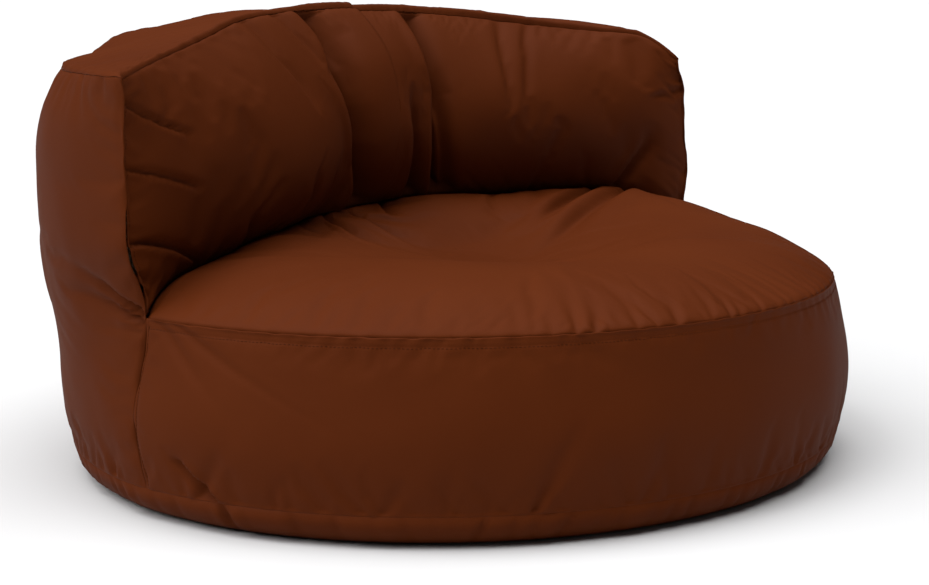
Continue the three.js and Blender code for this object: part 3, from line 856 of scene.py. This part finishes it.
# ---- The cover ----
moves = simulate([p for p in PANELS if p.name in SIMULATED])
forms, finals = {}, {}
for panel in PANELS:
    u, v = panel.axes(FINE[panel.name], True)
    p, q = np.meshgrid(u, v, indexing="ij")
    moved = cut(moves[panel.name], u, v) if panel.name in moves else None
    smooth, normal, points = panel.shape(p, q, moved)
    if panel.name == "base_panel":
        points[..., 2] = np.maximum(points[..., 2], 0.0)
    forms[panel.name] = (smooth, normal, points)
    points = leaned(points)
    finals[panel.name] = points
    obj = grid_object("cover_" + panel.name, points, panel.flip)
    layer = obj.data.uv_layers.new(name="cut")
    loops = np.zeros(len(obj.data.loops), int)
    obj.data.loops.foreach_get("vertex_index", loops)
    flat = np.stack([p * panel.size[0], q * panel.size[1]], axis=-1).reshape(-1, 2)
    layer.data.foreach_set("uv", flat[loops].astype(np.float32).ravel())
    thick = obj.modifiers.new("thickness", "SOLIDIFY")
    thick.thickness, thick.offset = CLOTH, -1
    apply_modifiers(obj)
    obj.data.shade_smooth()
    finished(obj, COVER, replaces=[panel.name])
    fill = "backrest_bead_fill" if "back" in panel.name else "seat_bead_fill"


# ---- Stitching ----
def line_beside(panel, side, distance):
    """The line that runs at a distance from one side of a panel: its points and normals."""
    points = finals[panel.name]
    normals = panel.normals(points)
    _, sides = panel.measure(forms[panel.name][2], np.zeros(points.shape[:2]), 0)
    gap = sides[side]
    if side[0] == "p":
        points, normals, gap = points.swapaxes(0, 1), normals.swapaxes(0, 1), gap.T
    if side[1] == "1":
        points, normals, gap = points[:, ::-1], normals[:, ::-1], gap[:, ::-1]
    def pick(field):
        return np.array([[np.interp(distance, gap[i], field[i, :, k]) for k in range(3)]
                         for i in range(len(gap))])
    return pick(points), unit(pick(normals))


STITCH, STITCH_GAP, THREAD_RADIUS = 0.0040, 0.0013, 0.00042
# The sections of one stitch: (share of its length, height over the cloth, share of the thread's radius)
SECTIONS = (0.0, -0.0007, 0.7), (0.18, 0.0002, 1.0), (0.82, 0.0002, 1.0), (1.0, -0.0007, 0.7)


def stitches(name, lines):
    """Rows of thread stitches. Each one is a short round strand that dips into the cloth at both ends."""
    verts, counts, ring = [], [], 5
    for points, normals in lines:
        run = np.concatenate([[0], np.cumsum(np.linalg.norm(np.diff(points, axis=0), axis=1))])
        starts = np.arange(0.004, run[-1] - STITCH - 0.004, STITCH + STITCH_GAP)
        def read(field, s):
            return np.stack([np.interp(s, run, field[:, k]) for k in range(3)], axis=-1)
        for share, lift, girth in SECTIONS:
            s = starts + share * STITCH
            centre, up = read(points, s), unit(read(normals, s))
            along = unit(read(points, s + 0.001) - read(points, s - 0.001))
            across = np.cross(along, up)
            for k in range(ring):
                a = 2 * PI * k / ring
                spoke = math.cos(a) * across + math.sin(a) * up
                verts.append(centre + up * lift + THREAD_RADIUS * girth * spoke)
        counts.append(len(starts))
    # Number the points: line by line, then stitch by stitch, then section by section, round each ring.
    points_out, faces_out, used, size = [], [], 0, len(SECTIONS) * ring
    for number, count in enumerate(counts):
        block = np.array(verts[number * size:(number + 1) * size])  # (section x ring, stitch, 3)
        points_out.append(block.transpose(1, 0, 2).reshape(-1, 3))
        for i in range(count):
            first = used + i * size
            for section in range(len(SECTIONS) - 1):
                for k in range(ring):
                    a, b = first + section * ring + k, first + section * ring + (k + 1) % ring
                    faces_out.append((a, b, b + ring, a + ring))
            faces_out.append(tuple(first + k for k in reversed(range(ring))))
            faces_out.append(tuple(first + size - ring + k for k in range(ring)))
        used += count * size
    obj = mesh_object(name, np.concatenate(points_out), faces_out)
    return finished(obj, THREAD)


for panel in PANELS:
    if panel.stitched:
        stitches("stitching_" + panel.name, [line_beside(panel, *row) for row in panel.stitched.items()])


# ---- The inner pieces: the frame's own shapes, pressed in wherever the cover folds deeper than they lie ----
FOLD_DEPTH, FOLD_REACH = 0.003, 0.040  # the least depth that counts, and how far round it the pieces give way
PRESSED_EDGE = 0.019  # the longest edge of an inner piece by the folds


class Folds:
    """The places where a cover panel lies well below its smooth form."""

    def __init__(self, name):
        smooth, normal, points = (field.reshape(-1, 3) for field in forms[name])
        depth = ((smooth - points) * normal).sum(axis=1)
        deep = np.nonzero(depth > FOLD_DEPTH)[0]
        self.places, self.normals, self.depths = smooth[deep], normal[deep], depth[deep]
        self.tree = KDTree(max(1, len(deep)))
        for i, place in enumerate(self.places):
            self.tree.insert(place, i)
        self.tree.balance()

    def press(self, point, lies_at, clear):
        """A point that lies at a depth below the smooth cover, moved in until it is clear of the folds."""
        found = [hit[1] for hit in self.tree.find_range(point, FOLD_REACH)]
        if not found:
            return point
        needed = self.depths[found] + clear - lies_at
        worst = int(needed.argmax())
        if needed[worst] <= 0:
            return point
        return point - self.normals[found[worst]] * needed[worst]

    def near(self, point, reach):
        hit = self.tree.find(point)
        return hit[2] is not None and hit[2] < reach


FOLDS = {panel.name: Folds(panel.name) for panel in PANELS}


def pressed(name, panels, lies_at, clear, material):
    """A copy of the frame's node with smaller faces by the folds, pressed clear of them."""
    folds = [FOLDS[panel] for panel in panels]
    mesh = bmesh.new()
    mesh.from_mesh(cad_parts[name].data)
    bmesh.ops.remove_doubles(mesh, verts=mesh.verts, dist=1e-5)
    for _ in range(3):
        long_edges = []
        for edge in mesh.edges:
            length = edge.calc_length()
            middle = (edge.verts[0].co + edge.verts[1].co) / 2
            reach = FOLD_REACH + 0.005 + length / 2
            if length > PRESSED_EDGE and any(fold.near(middle, reach) for fold in folds):
                long_edges.append(edge)
        if not long_edges:
            break
        bmesh.ops.subdivide_edges(mesh, edges=long_edges, cuts=1)
        bmesh.ops.triangulate(mesh, faces=mesh.faces)
    for vertex in mesh.verts:
        for fold in folds:
            vertex.co = Vector(fold.press(np.array(vertex.co), lies_at, clear))
    data = bpy.data.meshes.new("inner_" + name)
    mesh.to_mesh(data)
    mesh.free()
    co = np.zeros(len(data.vertices) * 3)
    data.vertices.foreach_get("co", co)
    data.vertices.foreach_set("co", leaned(co.reshape(-1, 3)).ravel())
    data.shade_smooth()
    return finished(linked("inner_" + name, data), material, replaces=[name])


SEAT_SIDES = ("seat_top_panel", "front_side_panel", "outer_back_panel", "base_panel")
BACK_SIDES = ("backrest_front_panel", "backrest_top_panel", "outer_back_panel")
divider = pressed("chamber_divider", ("seat_top_panel", "backrest_front_panel", "outer_back_panel"),
                  0.0, 0.004, LINING)
for chamber, sides, bag, strip in (("seat", SEAT_SIDES, (1.95, 1.36), (0.61, 0.050)),
                                   ("backrest", BACK_SIDES, (1.60, 1.06), (0.61, 0.065))):
    fill = pressed(chamber + "_bead_fill", sides, 0.011, 0.009, BEADS)
    liner = pressed(chamber + "_liner", sides, 0.008, 0.006, LINING)
    closure = pressed(chamber + "_liner_closure", sides, 0.008, 0.006, LINING)


# ---- Zips ----
def zip_point(zip_, angle, height, depth):
    z = zip_["z"] + height
    r = float(wall(PI / 2, z)) * DEPTH_REAR - ZIP_AXIS_Y - depth
    return np.array([r * math.sin(angle), ZIP_AXIS_Y + r * math.cos(angle), z])


def zip_tape(zip_, side, width):
    """One tape: a flat strip behind the cloth, and a row of nylon coils along its edge."""
    label = "upper" if side > 0 else "lower"
    node = f"{zip_['name']}_{label}_tape"
    angles = np.linspace(-zip_["half"] - TAPE_TAIL, zip_["half"] + TAPE_TAIL, 125)
    heights = np.linspace(0.0012, width, 7)
    grid = np.array([[zip_point(zip_, a, side * h, 0.0050) for h in heights] for a in angles])
    tape = grid_object("tape_" + node, grid, side < 0)
    thick = tape.modifiers.new("thickness", "SOLIDIFY")
    thick.thickness, thick.offset = 0.0007, -1
    finished(apply_modifiers(tape), TAPE, replaces=[node])
    radius = float(np.linalg.norm(grid[0, 0, :2] - (0, ZIP_AXIS_Y)))
    count = round(2 * zip_["half"] * radius / 0.0026)
    verts, faces, sides, bends = [], [], 5, 7
    for i in range(count):
        # Each coil is a bent strand: out over the edge of the tape and back under it.
        centre = lerp(-zip_["half"], zip_["half"], (i + (0.25 if side > 0 else 0.75)) / count)
        for k in range(bends):
            turn = PI * (k / (bends - 1) - 0.5)
            height = side * (0.0034 - 0.0029 * math.cos(turn))
            depth = 0.0034 + 0.0017 * math.sin(turn)
            middle = zip_point(zip_, centre + 0.0010 * (k / (bends - 1) - 0.5), height, depth)
            tangent = np.array([math.cos(centre), -math.sin(centre), 0])
            outward = np.array([math.sin(centre), math.cos(centre), 0])
            section = side * math.cos(turn) * np.array([0, 0, -1.0]) + math.sin(turn) * -outward
            for j in range(sides):
                a = 2 * PI * j / sides
                verts.append(middle + 0.00062 * (math.cos(a) * tangent + math.sin(a) * section))
        first = i * bends * sides
        for k in range(bends - 1):
            for j in range(sides):
                a, b = first + k * sides + j, first + k * sides + (j + 1) % sides
                faces.append((a, b, b + sides, a + sides))
        faces.append(tuple(first + j for j in reversed(range(sides))))
        faces.append(tuple(first + (bends - 1) * sides + j for j in range(sides)))
    coils = finished(mesh_object("coils_" + node, verts, faces), TAPE)


def rounded_copy(node, material, body):
    """The frame's node with its edges rounded."""
    mesh = bmesh.new()
    mesh.from_mesh(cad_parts[node].data)
    bmesh.ops.remove_doubles(mesh, verts=mesh.verts, dist=1e-5)
    bmesh.ops.dissolve_limit(mesh, angle_limit=math.radians(4), verts=mesh.verts, edges=mesh.edges)
    sharp = [edge for edge in mesh.edges
             if len(edge.link_faces) == 2 and edge.calc_face_angle() > math.radians(25)]
    bmesh.ops.bevel(mesh, geom=sharp, offset=0.00055, segments=3, profile=0.6, affect="EDGES")
    data = bpy.data.meshes.new("rounded_" + node)
    mesh.to_mesh(data)
    mesh.free()
    data.shade_smooth()
    return finished(linked("rounded_" + node, data), material, body, replaces=[node])


for zip_, rider in ((SEAT_ZIP, "seat_slider"), (BACK_ZIP, "backrest_slider")):
    zip_tape(zip_, 1, zip_["above"])
    zip_tape(zip_, -1, zip_["below"])
    rounded_copy(zip_["name"] + "_slider", METAL, rider)
    for end in ("closed", "open"):
        rounded_copy(f"{zip_['name']}_{end}_stop", METAL, "chair")

# ---- Camera, light and floor ----
camera = linked("camera", bpy.data.cameras.new("camera"))
camera.data.lens, camera.data.sensor_width = 77.5, 36.0
camera.location = (-2.141, -1.969, 0.702)
camera.rotation_mode = "QUATERNION"
camera.rotation_quaternion = (Vector((0.009, -0.010, 0.228)) - camera.location).to_track_quat("-Z", "Y")
bpy.context.scene.camera = camera

floor = mesh_object("floor", [(-80, -80, 0), (80, -80, 0), (80, 80, 0), (-80, 80, 0)], [(0, 1, 2, 3)], False)
pale, shader, _ = node_material("floor")
feed(shader, {"Base Color": (0.60, 0.60, 0.605, 1), "Roughness": 0.9, "Specular IOR Level": 0.0})
floor.data.materials.append(pale)

world = bpy.context.scene.world or bpy.data.worlds.new("world")
bpy.context.scene.world = world
world.use_nodes = True
feed(world.node_tree.nodes["Background"], {"Color": (1, 1, 1, 1), "Strength": 0.07})


def sun(name, towards, strength, angle):
    """A broad soft light from far away; towards points from the chair to it."""
    data = bpy.data.lights.new(name, "SUN")
    data.energy, data.angle = strength, math.radians(angle)
    lamp = linked(name, data)
    lamp.rotation_mode = "QUATERNION"
    lamp.rotation_quaternion = Vector(towards).to_track_quat("Z", "Y")


sun("left", (-0.64, 0.30, 0.71), 2.6, 50)
sun("top", (-0.05, -0.11, 0.99), 3.5, 60)
bpy.context.scene.view_settings.view_transform = "Standard"
